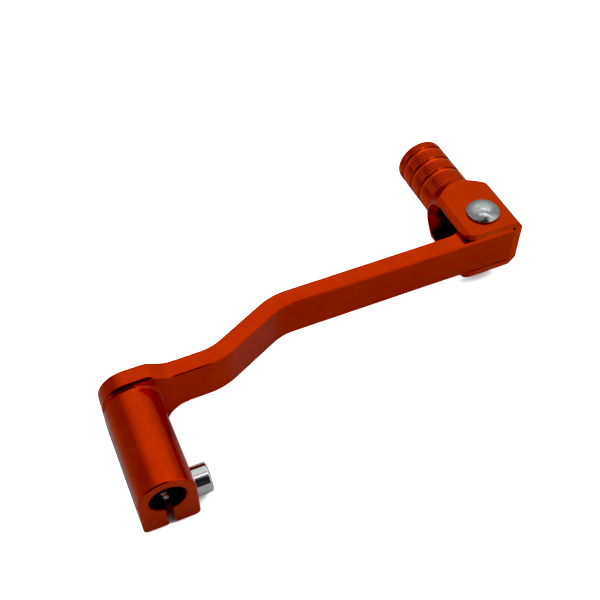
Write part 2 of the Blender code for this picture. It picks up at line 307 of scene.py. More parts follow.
def lathe(name, profile, axis, segments, centre, relief=None, closed=False):
    """A profile of (radius, height) pairs spun round an axis through centre.

    relief(angle, height) is taken off the radius, for knurls and threads.
    """
    rings = []
    for radius, height in profile:
        ring = []
        for i in range(segments if radius > 0 else 1):
            angle = 2 * pi * i / segments
            cut = relief(angle, height) if relief and radius > 0 else 0
            point = Vector(centre)
            point[axis] += height
            point[(axis + 1) % 3] += (radius - cut) * cos(angle)
            point[(axis + 2) % 3] += (radius - cut) * sin(angle)
            ring.append(point)
        rings.append(ring)
    return loft(name, rings, closed)


def rod(name, radius, axis, start, end, centre, segments=64):
    profile = [(radius, start), (radius, end)]
    return lathe(name, profile, axis, segments, centre)


def tube(name, path, radius, sides=16):
    """A round wire along a path, with its ends capped flat."""
    rings = []
    side = Vector((1, 0, 0))
    count = len(path)
    for i, point in enumerate(path):
        way = (path[min(i + 1, count - 1)] - path[max(i - 1, 0)]).normalized()
        side = (side - way * side.dot(way)).normalized()
        up = way.cross(side)
        ring = []
        for k in range(sides):
            turn = 2 * pi * k / sides
            ring.append(point + (side * cos(turn) + up * sin(turn)) * radius)
        rings.append(ring)
    return loft(name, rings)


def combine(piece, other, operation):
    """A Boolean that is applied at once. The other object is used up."""
    modifier = piece.modifiers.new("combine", "BOOLEAN")
    modifier.operation = operation
    modifier.solver = "EXACT"
    modifier.object = other
    settle(piece)
    bpy.data.objects.remove(other)


def settle(piece):
    """Applies the piece's modifiers to its mesh."""
    graph = bpy.context.evaluated_depsgraph_get()
    mesh = bpy.data.meshes.new_from_object(piece.evaluated_get(graph), depsgraph=graph)
    piece.modifiers.clear()
    piece.data = mesh


def finish_surface(piece, sharp=32):
    """Slivers merged, then smooth shading with sharp creases, and flats kept flat."""
    bm = bmesh.new()
    bm.from_mesh(piece.data)
    bmesh.ops.remove_doubles(bm, verts=bm.verts, dist=SLIVER)
    bmesh.ops.dissolve_degenerate(bm, edges=bm.edges, dist=SLIVER)
    bm.to_mesh(piece.data)
    bm.free()
    piece.data.shade_smooth()
    piece.data.set_sharp_from_angle(angle=radians(sharp))
    modifier = piece.modifiers.new("even normals", "WEIGHTED_NORMAL")
    modifier.keep_sharp = True
    modifier.weight = 100


# --------------------------------------------------------------- lever arm


def bar_outline():
    """The bar seen along the shaft, clockwise from its bottom left corner."""
    radii = CREST_RADIUS + DIP_RADIUS
    straight_drop = CREST - ARM_HALF_HEIGHT - radii * (1 - cos(DIP_SLOPE))
    dip_end = CREST_END + radii * sin(DIP_SLOPE) + straight_drop / tan(DIP_SLOPE)
    slope = degrees(DIP_SLOPE)
    far = PIVOT.x + TONGUE_RADIUS
    throat_z = -ARM_HALF_HEIGHT - THROAT_RADIUS
    throat_end = 180 - degrees(asin((-HUB_DROP - throat_z) / THROAT_RADIUS))
    outline = arc(HUB_CORNER - HUB_RADIUS, HUB_CORNER - HUB_DROP, HUB_CORNER, 270, 180, 8)
    outline += arc(0, CREST - HUB_RADIUS, HUB_RADIUS, 180, 90, 48)
    outline += arc(CREST_END, CREST - CREST_RADIUS, CREST_RADIUS, 90, 90 - slope, 14)
    outline += arc(dip_end, ARM_HALF_HEIGHT + DIP_RADIUS, DIP_RADIUS, 270 - slope, 270, 18)
    outline += [(far - TONGUE_CORNER, ARM_HALF_HEIGHT), (far, ARM_HALF_HEIGHT - TONGUE_CORNER)]
    outline += [(far, -ARM_HALF_HEIGHT)]
    outline += arc(THROAT_X, throat_z, THROAT_RADIUS, 90, throat_end, 36)
    return without_repeats(outline)


def without_repeats(outline):
    kept = []
    for point in outline:
        if not kept or (Vector(point) - Vector(kept[-1])).length > 1e-7:
            kept.append(point)
    return kept


def smooth_step(value, start, end):
    share = min(1, max(0, (value - start) / (end - start)))
    return share * share * (3 - 2 * share)


def chamfer_share(x, z):
    """The long bevel is full along the top, slight in the dip and along the underside."""
    if z < 0:
        return LEAST_BEVEL if x < THROAT_X else 2 * LEAST_BEVEL
    if x < 0:
        return LEAST_BEVEL + (1 - LEAST_BEVEL) * smooth_step(z, 0, 0.8 * CREST)
    dip = smooth_step(x, CREST_END, DIP_START) * smooth_step(-x, -DIP_END, MM - DIP_END)
    return 1 - (1 - 2 * LEAST_BEVEL) * dip


def bevelled_ring(outline, depths):
    """The outline moved inwards, apart from the tongue's flat end, which has no bevel."""
    far = PIVOT.x + TONGUE_RADIUS
    ring = []
    for (start_x, _), (x, z) in zip(outline, inset(outline, depths)):
        ring.append((start_x if start_x > far - EDGE_ROUND else x, z))
    return ring


def bend_end():
    """The x where the S-bend is over and the bar runs straight again."""
    turn = BEND_ANGLE
    straight = (ARM_OFFSET - 2 * BEND_RADIUS * (1 - cos(turn))) / sin(turn)
    return BEND_START + 2 * BEND_RADIUS * sin(turn) + straight * cos(turn)


def side_y(x, offset):
    """(Y, slope) of one side of the S-bent bar at x, offset from its middle line."""
    turn = BEND_ANGLE
    first_radius = BEND_RADIUS - offset
    second_radius = BEND_RADIUS + offset
    first_end = BEND_START + first_radius * sin(turn)
    second_x = bend_end()
    if x <= BEND_START:
        return ARM_HUB_Y + offset, 0
    if x <= first_end:
        slope = asin((x - BEND_START) / first_radius)
        return ARM_HUB_Y + BEND_RADIUS - first_radius * cos(slope), slope
    if x >= second_x:
        return ARM_HUB_Y + ARM_OFFSET + offset, 0
    if x >= second_x - second_radius * sin(turn):
        slope = asin((second_x - x) / second_radius)
        return ARM_HUB_Y + ARM_OFFSET - BEND_RADIUS + second_radius * cos(slope), slope
    begun = ARM_HUB_Y + BEND_RADIUS - first_radius * cos(turn)
    return begun + (x - first_end) * sin(turn) / cos(turn), turn


def tongue_fillet():
    """(centre x, centre y, end angle in degrees) of the curve from the bar to the tongue."""
    centre_y = ARM_HUB_Y + ARM_OFFSET + ARM_WIDTH / 2 + TONGUE_FILLET
    reach = TONGUE_RADIUS + TONGUE_FILLET
    centre_x = PIVOT.x - sqrt(reach**2 - (centre_y - PIVOT.y) ** 2)
    return centre_x, centre_y, degrees(asin((centre_y - PIVOT.y) / reach))


def back_y(x):
    """(Y, slope) of the bar's outboard side, with the round tongue at its end."""
    centre_x, centre_y, slope = tongue_fillet()
    if x <= centre_x:
        return side_y(x, ARM_WIDTH / 2)
    if x <= centre_x + TONGUE_FILLET * cos(radians(slope)):
        return centre_y - sqrt(TONGUE_FILLET**2 - (x - centre_x) ** 2), 0
    return PIVOT.y + sqrt(max(0, TONGUE_RADIUS**2 - (x - PIVOT.x) ** 2)), 0


def plan_stations():
    """The x values where the flat bar is divided, so that it bends smoothly."""
    reach = (BEND_RADIUS + ARM_WIDTH / 2) * sin(BEND_ANGLE)
    count = int(reach / BEND_STEP)
    stations = [BEND_START + reach * i / count for i in range(count + 1)]
    stations += [bend_end() - reach * i / count for i in range(count + 1)]
    centre_x, _, slope = tongue_fillet()
    stations += [x for x, _ in arc(centre_x, 0, TONGUE_FILLET, -90, -slope, 12)]
    stations += [x for x, _ in arc(PIVOT.x, 0, TONGUE_RADIUS, 180 - slope, 4, 44)]
    return sorted(stations)


def make_bar():
    """The bar as a flat plate with bevelled edges, divided and then bent in plan."""
    half = ARM_WIDTH / 2
    outline = bar_outline()
    shares = [chamfer_share(x, z) for x, z in outline]
    front = [(0, CHAMFER_DOWN + EDGE_ROUND), (0, CHAMFER_DOWN), (CHAMFER_ACROSS, 0)]
    front += [(CHAMFER_ACROSS + EDGE_ROUND, 0)]
    back = [(2 * BACK_BREAK, 0), (BACK_BREAK, 0), (0, BACK_BREAK), (0, 2 * BACK_BREAK)]
    rings = []
    for across, depth in soften(front, EDGE_ROUND):
        ring = bevelled_ring(outline, [depth * share for share in shares])
        places = [-half + across * share for share in shares]
        rings.append([Vector((x, w, z)) for (x, z), w in zip(ring, places)])
    for across, depth in soften(back, BACK_BREAK / 2):
        ring = inset(outline, [depth] * len(outline))
        rings.append([Vector((x, half - across, z)) for x, z in ring])
    bm = loft_bmesh(rings)
    for x in plan_stations():
        whole = bm.verts[:] + bm.edges[:] + bm.faces[:]
        cut = {"plane_co": (x, 0, 0), "plane_no": (1, 0, 0), "dist": 1e-8}
        bmesh.ops.bisect_plane(bm, geom=whole, **cut)
    for vertex in bm.verts:
        x, across, z = vertex.co
        if across < 0:
            y, slope = side_y(x, -half)
            vertex.co.y = y + (across + half) / cos(slope)
        else:
            y, slope = back_y(x)
            vertex.co.y = y - (half - across) / cos(slope)
    return new_object("lever_arm_body", bm)


def hub_outline():
    """The tube seen along the shaft, clockwise from its bottom left corner."""
    left = arc(HUB_CORNER - HUB_RADIUS, HUB_CORNER - HUB_DROP, HUB_CORNER, 270, 180, 8)
    right = arc(HUB_RADIUS - HUB_CORNER, HUB_CORNER - HUB_DROP, HUB_CORNER, 0, -90, 8)
    sides = [HUB_RADIUS * share for share in (-0.3, -0.6, -0.9, -1.2)]
    down = [(HUB_RADIUS, z) for z in sides]
    up = [(-HUB_RADIUS, z) for z in reversed(sides)]
    return left + up + arc(0, 0, HUB_RADIUS, 180, 0, 96) + down + right


def make_hub_tube():
    """The clamp tube, with a bevelled rim and a hollow root curve into the plate."""
    outline = hub_outline()
    plate = bar_outline()
    unit = inset(outline, [-1 * MM] * len(outline))
    room = []
    for (x, z), (out_x, out_z) in zip(outline, unit):
        way = Vector((out_x - x, out_z - z)).normalized()
        gap = reach_to(plate, Vector((x, z)) - way * MM, way) - MM
        gap -= CHAMFER_DOWN * chamfer_share(x, z) + EDGE_ROUND
        room.append(max(0, min(ROOT_FILLET, gap)))
    face = ARM_HUB_Y - ARM_WIDTH / 2
    rim = [(0, -RIM_CHAMFER - EDGE_ROUND), (0, -RIM_CHAMFER), (RIM_CHAMFER, 0)]
    rim += [(RIM_CHAMFER + EDGE_ROUND, 0)]
    stack = [(y, out, 0) for y, out in soften(rim, EDGE_ROUND / 2)]
    steps = 12
    for i in range(steps + 1):
        turn = pi / 2 * i / steps
        stack.append((face - ROOT_FILLET * (1 - sin(turn)), 0, 1 - cos(turn)))
    buried = 0.02 * MM
    stack += [(face + buried, 0, 1), (face + 15 * buried, -EDGE_BREAK, 1)]
    stack += [(face + ARM_WIDTH / 3, -EDGE_BREAK, 0.4)]
    rings = []
    for y, out, flare in stack:
        ring = inset(outline, [-out - flare * width for width in room])
        rings.append([Vector((x, y, z)) for x, z in ring])
    return loft("hub_tube", rings)


def spline_outline():
    """Bore with straight teeth, each with a flat tip and a relieved flank."""
    points = []
    pitch = 2 * pi / SPLINE_TEETH
    middle = (SPLINE_ROOT + SPLINE_TIP) / 2
    flank = [(-0.42, SPLINE_ROOT), (-0.27, middle), (-0.17, SPLINE_TIP)]
    flank += [(0.17, SPLINE_TIP), (0.27, middle), (0.42, SPLINE_ROOT)]
    for tooth in range(SPLINE_TEETH):
        for share, radius in flank:
            turn = (tooth + share) * pitch
            points.append((radius * cos(turn), radius * sin(turn)))
    return points


def bore_cutter():
    """The splined bore, with the tips of its teeth bevelled at the mouth."""
    rings = []
    levels = [(-OUTSIDE, BORE_CHAMFER), (0, BORE_CHAMFER), (BORE_CHAMFER, 0), (BORE_DEPTH, 0)]
    for y, least in levels:
        ring = []
        for x, z in spline_outline():
            grown = max(1, (SPLINE_TIP + least) / sqrt(x * x + z * z))
            ring.append((x * grown, y, z * grown))
        rings.append(ring)
    return loft("bore_cutter", rings)


def slot_cutters():
    """The clamp's split, with its edges broken at the face and along the bottom."""
    half = SLOT_WIDTH / 2
    wide = half + EDGE_BREAK
    plan = [(-wide - MM, -MM), (-half, EDGE_BREAK)]
    plan += arc(0, SLOT_LENGTH - half, half, 180, 0, 16)
    plan += [(half, EDGE_BREAK), (wide + MM, -MM)]
    split = prism("split_cutter", plan, 2, -OUTSIDE, 0)
    low = -HUB_DROP
    bottom = [(-wide - MM, low - MM), (-half, low + EDGE_BREAK)]
    bottom += [(half, low + EDGE_BREAK), (wide + MM, low - MM)]
    edge = prism("split_edge_cutter", bottom, 1, -OUTSIDE, SLOT_LENGTH - half)
    return [split, edge]


def make_lever_arm():
    arm = make_bar()
    combine(arm, make_hub_tube(), "UNION")
    for cutter in slot_cutters():
        combine(arm, cutter, "DIFFERENCE")
    combine(arm, bore_cutter(), "DIFFERENCE")
    hole = rod("bolt_hole_cutter", BOLT_HOLE, 0, -OUTSIDE, OUTSIDE, BOLT_CENTRE)
    combine(arm, hole, "DIFFERENCE")
    flare = [(BOLT_HOLE - EDGE_BREAK, -HUB_RADIUS + 2 * EDGE_BREAK)]
    flare += [(BOLT_HOLE + EDGE_BREAK + MM, -HUB_RADIUS - MM)]
    combine(arm, lathe("bolt_edge_cutter", flare, 0, 64, BOLT_CENTRE), "DIFFERENCE")
    hole = rod("pivot_hole_cutter", PIVOT_HOLE, 2, -OUTSIDE, OUTSIDE, PIVOT)
    combine(arm, hole, "DIFFERENCE")
    roof = SPRING_POCKET_TOP
    pocket = rod("pocket_cutter", SPRING_POCKET_RADIUS, 2, -OUTSIDE, roof, PIVOT)
    combine(arm, pocket, "DIFFERENCE")
    leg = PIVOT + Vector((SPRING_RADIUS, 0, 0))
    leg_end = roof + 2 * SPRING_LEG
    combine(arm, rod("leg_hole_cutter", LEG_HOLE, 2, 0, leg_end, leg, 24), "DIFFERENCE")
    finish_surface(arm)
    return arm


# ---------------------------------------------------------------- toe peg


def knurl(angle, y):
    """How deep the straight knurl is cut, at an angle round the grip and a place along it."""
    for middle in GROOVE_Y:
        if abs(y - middle) < GROOVE_WIDTH / 2 + 1e-7:
            return 0
    half = GROOVE_WIDTH / 2
    edges = [GRIP_START - MM] + [middle + side for middle in GROOVE_Y for side in (-half, half)]
    edges.append(PEG_HIGH.y - PIVOT.y - GRIP_ROUND / 3)
    fade = max(0, min(1, min(abs(y - edge) for edge in edges) / KNURL_FADE))
    if y > edges[-1]:
        fade = 0
    share = (angle * KNURL_TEETH / (2 * pi)) % 1
    tooth = 1 - abs(2 * share - 1)
    return KNURL_DEPTH * fade * min(1, max(0, KNURL_STEEPNESS * tooth - 1))


def grip_profile():
    """Knurled bands and three smooth grooves, from inside the shoulder to the round end."""
    end = PEG_HIGH.y - PIVOT.y
    half = GROOVE_WIDTH / 2
    floor = GRIP_RADIUS - GROOVE_DEPTH
    buried = GRIP_RADIUS - KNURL_DEPTH - EDGE_BREAK
    inside = SHOULDER_Y + 2 * MM
    edge = GRIP_START - MM
    profile = [(0, inside), (buried, inside), (buried, edge)]
    for middle in GROOVE_Y:
        profile += band(edge, middle - half)
        groove = [(GRIP_RADIUS, middle - half), (floor, middle - half / 3)]
        groove += [(floor, middle + half / 3), (GRIP_RADIUS, middle + half)]
        profile += soften(groove, half / 3, 4)[1:-1]
        edge = middle + half
    profile += band(edge, end - GRIP_ROUND)
    corner = GRIP_RADIUS - GRIP_ROUND
    profile += arc(corner, end - GRIP_ROUND, GRIP_ROUND, 6, 90, 12)
    return profile + [(0, end)]


def band(start, end):
    """Rows of one knurled band, close together where the teeth run out."""
    rows = [start, start + KNURL_FADE / 2, start + KNURL_FADE]
    rows += [(start + end) / 2, end - KNURL_FADE, end - KNURL_FADE / 2, end]
    return [(GRIP_RADIUS, y) for y in rows]


def make_peg_base():
    """The turned base with its flats, slotted to leave two ears and a web."""
    front = PEG_LOW.y - PIVOT.y
    wide = PIVOT.x - PEG_LOW.x
    high = PEG_HIGH.z
    neck = GRIP_RADIUS - KNURL_DEPTH - 2 * EDGE_BREAK
    profile = [(0, front), (BASE_RADIUS, front), (BASE_RADIUS, SHOULDER_Y)]
    profile += [(neck, GRIP_START + EDGE_BREAK), (0, GRIP_START + EDGE_BREAK)]
    base = lathe("toe_peg_body", profile, 1, 192, TURNING)
    x, y = PIVOT.x, PIVOT.y
    plan = arc(x + EAR_CORNER - wide, y + front + EAR_CORNER, EAR_CORNER, 270, 180, 20)
    plan += [(x - wide, y + OUTSIDE), (x + wide, y + OUTSIDE), (x + wide, y + front - MM)]
    plan += [(x + EAR_CORNER - wide, y + front - MM)]
    flats = prism("flats_stock", plan, 2, -high, high)
    combine(base, flats, "INTERSECT")
    gap = [(y - OUTSIDE, -CLEVIS_HALF_GAP)]
    gap += arc(y + CLEVIS_ROUND_Y, 0, CLEVIS_HALF_GAP, -90, 90, 48)
    gap += [(y - OUTSIDE, CLEVIS_HALF_GAP)]
    slot = prism("clevis_cutter", gap, 0, x - OUTSIDE, x + WEB_INSIDE)
    combine(base, slot, "DIFFERENCE")
    hole = rod("ear_hole_cutter", PIVOT_HOLE, 2, -OUTSIDE, OUTSIDE, PIVOT)
    combine(base, hole, "DIFFERENCE")
    modifier = base.modifiers.new("edges", "BEVEL")
    modifier.width = EAR_BEVEL
    modifier.segments = 2
    modifier.limit_method = "ANGLE"
    modifier.angle_limit = radians(26)
    modifier.use_clamp_overlap = False
    settle(base)
    return base


def make_toe_peg():
    peg = make_peg_base()
    segments = 5 * KNURL_TEETH
    grip = lathe("grip", grip_profile(), 1, segments, TURNING, knurl)
    combine(peg, grip, "UNION")
    leg = PIVOT - Vector((SPRING_RADIUS, 0, 0))
    low = -CLEVIS_HALF_GAP - SPRING_LEG
    combine(peg, rod("ear_leg_cutter", LEG_HOLE, 2, low, 0, leg, 24), "DIFFERENCE")
    finish_surface(peg, 24)
    return peg


# ------------------------------------------------- rivet, washer and spring


def dome(radius, height, base, steps=24):
    """A domed head's profile, from its rim up to the axis."""
    ball = (radius**2 + height**2) / (2 * height)
    turn = asin(radius / ball)
    angles = [turn * (1 - i / steps) for i in range(steps)]
    rim_up = [(ball * sin(a), base + height - ball * (1 - cos(a))) for a in angles]
    return rim_up + [(0, base + height)]


def make_rivet():
    """Dome head above the upper ear, shank through both ears, peened tail below."""
    seat = PEG_HIGH.z + SEAT_GAP
    head_radius = (RIVET_HIGH.x - RIVET_LOW.x) / 2 - HEAD_INSET
    tail = WASHER_LOW.z - SEAT_GAP
    low = dome(TAIL_RADIUS, TAIL_HEIGHT, -tail, 12)
    profile = [(r, -z) for r, z in reversed(low)]
    profile += [(SHANK_RADIUS, tail), (SHANK_RADIUS, seat)]
    rise = RIVET_HIGH.z - seat - HEAD_RIM
    rim = [(head_radius - EDGE_ROUND / 2, seat), (head_radius, seat + HEAD_RIM / 2)]
    head = dome(head_radius, rise, seat + HEAD_RIM)
    profile += soften(rim + head[:2], EDGE_ROUND, 3)[:-1] + head[2:]
    rivet = lathe("rivet_head_and_shank", profile, 2, 128, (PIVOT.x, PIVOT.y, 0))
    finish_surface(rivet)
    return rivet


def make_washer():
    outer = (WASHER_HIGH.x - WASHER_LOW.x) / 2
    low, high = WASHER_LOW.z, WASHER_HIGH.z
    middle = (low + high) / 2
    corners = [(PIVOT_HOLE, middle), (PIVOT_HOLE, low), (outer, low), (outer, high)]
    corners += [(PIVOT_HOLE, high), (PIVOT_HOLE, middle)]
    ring = soften(corners, EDGE_ROUND, 3)[:-1]
    washer = lathe("rivet_washer_ring", ring, 2, 96, (PIVOT.x, PIVOT.y, 0), closed=True)
    finish_surface(washer)
    return washer


def spring_rise(turns):
    return Vector((0, 0, SPRING_PITCH * turns))


def make_spring():
    """Lower leg down into the ear, coils, upper leg up into the tongue."""
    steps = 40
    total = round(SPRING_TURNS * steps)
    coil = []
    for i in range(total + 1):
        turn = pi + 2 * pi * i / steps
        way = Vector((cos(turn), sin(turn), 0))
        coil.append(SPRING_BASE + way * SPRING_RADIUS + spring_rise(i / steps))
    drop = Vector((0, 0, SPRING_LEG))
    legs = [[coil[0] - drop, coil[0] - drop * 0.3], [coil[-1] + drop * 0.3, coil[-1] + drop]]
    spring = tube("return_spring_coil", legs[0] + coil + legs[1], SPRING_WIRE)
    finish_surface(spring, 60)
    return spring


# ------------------------------------------------------------- pinch bolt


def thread(angle, x):
    """A single-start thread on the shank. The head is smooth."""
    if x > HUB_RADIUS - MM:
        return 0
    share = (x / THREAD_PITCH + angle / (2 * pi)) % 1
    ridge = 1 - abs(2 * share - 1)
    run_out = min(1, (x - BOLT_LOW.x) / THREAD_PITCH + 0.4)  # shallower at the shank's very end
    return THREAD_DEPTH * min(1, max(0, THREAD_STEEPNESS * ridge - THREAD_CREST)) * run_out


def make_bolt():
    """Socket cap screw. Its head stands on the hub's +X side."""
    seat = HUB_RADIUS + SEAT_GAP
    top = BOLT_HIGH.x
    radius = (BOLT_HIGH.y - BOLT_LOW.y) / 2
    length = HUB_RADIUS - MM - BOLT_LOW.x
    rows = round(length / THREAD_PITCH * 10)
    profile = [(0, BOLT_LOW.x), (THREAD_RADIUS - THREAD_DEPTH, BOLT_LOW.x)]
    profile += [(THREAD_RADIUS, BOLT_LOW.x + length * (i + 1) / rows) for i in range(rows)]
    profile += [(THREAD_RADIUS, seat)]
    under = [(THREAD_RADIUS, seat), (radius, seat), (radius, top - HEAD_ROUND)]
    profile += soften(under, EDGE_BREAK, 4)[1:-1]
    profile += arc(radius - HEAD_ROUND, top - HEAD_ROUND, HEAD_ROUND, 0, 90, 16)
    key = SOCKET_ACROSS_FLATS / sqrt(3)
    rim = key + EDGE_BREAK / 2
    profile += [(rim, top), (0, top)]
    bolt = lathe("pinch_bolt_screw", profile, 0, 96, BOLT_CENTRE, thread)
    hexagon = arc(BOLT_CENTRE[1], BOLT_CENTRE[2], key, 0, 300, 5)
    socket = prism("socket_cutter", hexagon, 0, top - SOCKET_DEPTH, top + OUTSIDE)
    combine(bolt, socket, "DIFFERENCE")
    dish = [(key, top - EDGE_BREAK), (key + 2 * EDGE_BREAK, top + EDGE_BREAK)]
    combine(bolt, lathe("socket_edge_cutter", dish, 0, 96, BOLT_CENTRE), "DIFFERENCE")
    finish_surface(bolt)
    return bolt


# -------------------------------------------------------------- materials


class Nodes:
    """A short way to write a material's nodes."""

    def __init__(self, name):
        self.material = bpy.data.materials.new(name)
        self.material.use_nodes = True
        self.tree = self.material.node_tree
        self.shader = self.tree.nodes["Principled BSDF"]
        self.place = self.add("ShaderNodeTexCoord").outputs["Object"]

    def add(self, kind, **settings):
        node = self.tree.nodes.new(kind)
        for key, value in settings.items():
            if key in node.inputs:
                node.inputs[key].default_value = value
            else:
                setattr(node, key, value)
        return node

    def link(self, output, target):
        self.tree.links.new(output, target)

    def noise(self, size, stretch=(1, 1, 1), detail=3, rough=0.5):
        """Noise whose grain is about size metres, drawn out along an axis by stretch."""
        mapping = self.add("ShaderNodeMapping")
        mapping.inputs["Scale"].default_value = [1 / s for s in stretch]
        self.link(self.place, mapping.inputs["Vector"])
        noise = self.add("ShaderNodeTexNoise", Scale=1 / size, Detail=detail, Roughness=rough)
        self.link(mapping.outputs["Vector"], noise.inputs["Vector"])
        return noise.outputs["Fac"]

    def spread(self, value, low, high, start=0.3, end=0.7):
        """The value, usually between start and end, carried to between low and high."""
        node = self.add("ShaderNodeMapRange")
        numbers = {"From Min": start, "From Max": end, "To Min": low, "To Max": high}
        for key, number in numbers.items():
            node.inputs[key].default_value = number
        self.link(value, node.inputs["Value"])
        return node.outputs["Result"]

    def blend(self, value, first, second):
        """A colour between two, by a value from 0 to 1."""
        node = self.add("ShaderNodeMix", data_type="RGBA")
        node.inputs[6].default_value = (*first, 1)
        node.inputs[7].default_value = (*second, 1)
        self.link(value, node.inputs[0])
        return node.outputs[2]

    def bump(self, height, distance, under=None):
        node = self.add("ShaderNodeBump", Distance=distance, Strength=1)
        self.link(height, node.inputs["Height"])
        if under:
            self.link(under, node.inputs["Normal"])
        return node.outputs["Normal"]


def anodised(name, deep, bright, roughness, stretch):
    """Dyed aluminium with faint tool marks. The painted sheen on faces square to the Y axis is
    added separately, for the peg only.
    """
    n = Nodes(name)
    n.shader.inputs["Metallic"].default_value = 1
    clouds = n.spread(n.noise(9 * MM, detail=4), 0, 1)
    dye = n.blend(clouds, deep, bright)
    n.link(dye, n.shader.inputs["Base Color"])
    marks = n.noise(0.35 * MM, stretch, detail=2)
    blast = n.noise(0.12 * MM, detail=2)
    rough = n.spread(n.noise(0.5 * MM, stretch), roughness - 0.03, roughness + 0.04)
    n.link(rough, n.shader.inputs["Roughness"])
    fine = n.bump(blast, 0.0016 * MM)
    n.link(n.bump(marks, 0.0022 * MM, fine), n.shader.inputs["Normal"])
    return n


def painted_sheen_and_facing_rings(n, painted_sheen_lift, centre):
    """Facing cuts on a turned piece's square ends: fine rings as bumps, and a painted sheen that
    lightens those faces' colour.
    """
    split = n.add("ShaderNodeSeparateXYZ")
    n.link(n.add("ShaderNodeTexCoord").outputs["Normal"], split.inputs[0])
    square = n.add("ShaderNodeMath", operation="ABSOLUTE")
    n.link(split.outputs["Y"], square.inputs[0])
    mask = n.spread(square.outputs[0], 0, 1, 0.96, 0.995)
    colour = n.shader.inputs["Base Color"]
    # Painted sheen: faces square to the Y axis get a lighter, whiter colour that stands in for a
    # brighter reflection.
    painted_sheen_mix = n.add("ShaderNodeMix", data_type="RGBA", blend_type="MULTIPLY")
    painted_sheen_mix.inputs[7].default_value = (*painted_sheen_lift, 1)
    n.link(colour.links[0].from_socket, painted_sheen_mix.inputs[6])
    n.link(mask, painted_sheen_mix.inputs[0])
    n.link(painted_sheen_mix.outputs[2], colour)
    moved = n.add("ShaderNodeMapping")
    moved.inputs["Location"].default_value = -centre
    n.link(n.place, moved.inputs["Vector"])
    rings = n.add("ShaderNodeTexWave", wave_type="RINGS", rings_direction="Y", Scale=1 / (1.2 * MM))
    n.link(moved.outputs["Vector"], rings.inputs["Vector"])
    cut = n.add("ShaderNodeMath", operation="MULTIPLY")
    n.link(rings.outputs["Fac"], cut.inputs[0])
    n.link(mask, cut.inputs[1])
    normal = n.shader.inputs["Normal"]
    n.link(n.bump(cut.outputs[0], 0.001 * MM, normal.links[0].from_socket), normal)


def painted_knurl_shade_and_sheen(n, centre):
    """Painted shade in the grip's knurl valleys and on its flanks, and painted sheen on its crests
    and smooth grooves, by the distance from its axis.
    """
    moved = n.add("ShaderNodeVectorMath", operation="SUBTRACT")
    moved.inputs[1].default_value = centre
    n.link(n.place, moved.inputs[0])
    flat = n.add("ShaderNodeVectorMath", operation="MULTIPLY")
    flat.inputs[1].default_value = (1, 0, 1)
    n.link(moved.outputs[0], flat.inputs[0])
    length = n.add("ShaderNodeVectorMath", operation="LENGTH")
    n.link(flat.outputs[0], length.inputs[0])
    # Tints by radius: groove and crest are painted sheen, valley and flank are painted shade.
    groove, valley, flank, crest = (1.5, 1.8, 3), (0.65, 0.5, 0.4), (0.75, 0.6, 0.5), (1.42, 1.9, 4)
    bottom = GRIP_RADIUS - KNURL_DEPTH
    start = GRIP_RADIUS - GROOVE_DEPTH
    end = GRIP_RADIUS + EDGE_BREAK
    shade_and_sheen_ramp = n.add("ShaderNodeValToRGB")
    n.link(n.spread(length.outputs["Value"], 0, 1, start, end), shade_and_sheen_ramp.inputs["Fac"])
    stops = [(start, groove), (bottom - 0.06 * MM, groove), (bottom, valley)]
    stops += [(GRIP_RADIUS - 0.18 * MM, flank), (GRIP_RADIUS - 0.05 * MM, crest)]
    stops += [(GRIP_RADIUS + 0.1 * MM, crest), (end, (1, 1, 1))]
    for i, (radius, tint) in enumerate(stops):
        share = (radius - start) / (end - start)
        stop = shade_and_sheen_ramp.color_ramp.elements[i] if i < 2 else shade_and_sheen_ramp.color_ramp.elements.new(share)
        stop.position = share
        stop.color = (*tint, 1)
    tinted = n.add("ShaderNodeMix", data_type="RGBA", blend_type="MULTIPLY")
    tinted.inputs[0].default_value = 1
    colour = n.shader.inputs["Base Color"]
    n.link(colour.links[0].from_socket, tinted.inputs[6])
    n.link(shade_and_sheen_ramp.outputs["Color"], tinted.inputs[7])
    n.link(tinted.outputs[2], colour)


def steel(name, dark, light, roughness, grain, marks):
    """Plated or drawn steel with cloudy finish and fine handling marks."""
    n = Nodes(name)
    n.shader.inputs["Metallic"].default_value = 1
    clouds = n.noise(grain, detail=5, rough=0.6)
    n.link(n.blend(n.spread(clouds, 0, 1), dark, light), n.shader.inputs["Base Color"])
    rough = n.spread(n.noise(grain / 3), roughness * 0.8, roughness * 1.25)
    n.link(rough, n.shader.inputs["Roughness"])
    n.link(n.bump(n.noise(grain / 4, detail=4), marks), n.shader.inputs["Normal"])
    return n.material


def paint(piece, material):
    piece.data.materials.clear()
    piece.data.materials.append(material)


# ---------------------------------------------------------- stage and light


def look_rotation(place, target):
    return (Vector(target) - Vector(place)).to_track_quat("-Z", "Y").to_euler()


def make_camera():
    data = bpy.data.cameras.new("camera")
    camera = bpy.data.objects.new("camera", data)
    bpy.context.scene.collection.objects.link(camera)
    camera.location = CAMERA_PLACE
    camera.rotation_euler = (CAMERA_TILT, 0, CAMERA_HEADING)
    data.lens = CAMERA_LENS
    data.sensor_width = 36
    data.clip_start = 0.01
    bpy.context.scene.camera = camera


def plain_material(name, colour, roughness):
    n = Nodes(name)
    n.shader.inputs["Roughness"].default_value = roughness
    n.shader.inputs["Specular IOR Level"].default_value = 0.2
    soft = [c * 0.985 for c in colour]
    grain = n.spread(n.noise(60 * MM), 0, 1)
    n.link(n.blend(grain, colour, soft), n.shader.inputs["Base Color"])
    return n.material


def make_floor(name, material):
    half = FLOOR_SIZE / 2
    corners = [(-half, -half), (half, -half), (half, half), (-half, half)]
    bm = bmesh.new()
    bm.faces.new([bm.verts.new((x, y, FLOOR_Z)) for x, y in corners])
    floor = new_object(name, bm)
    paint(floor, material)
    return floor


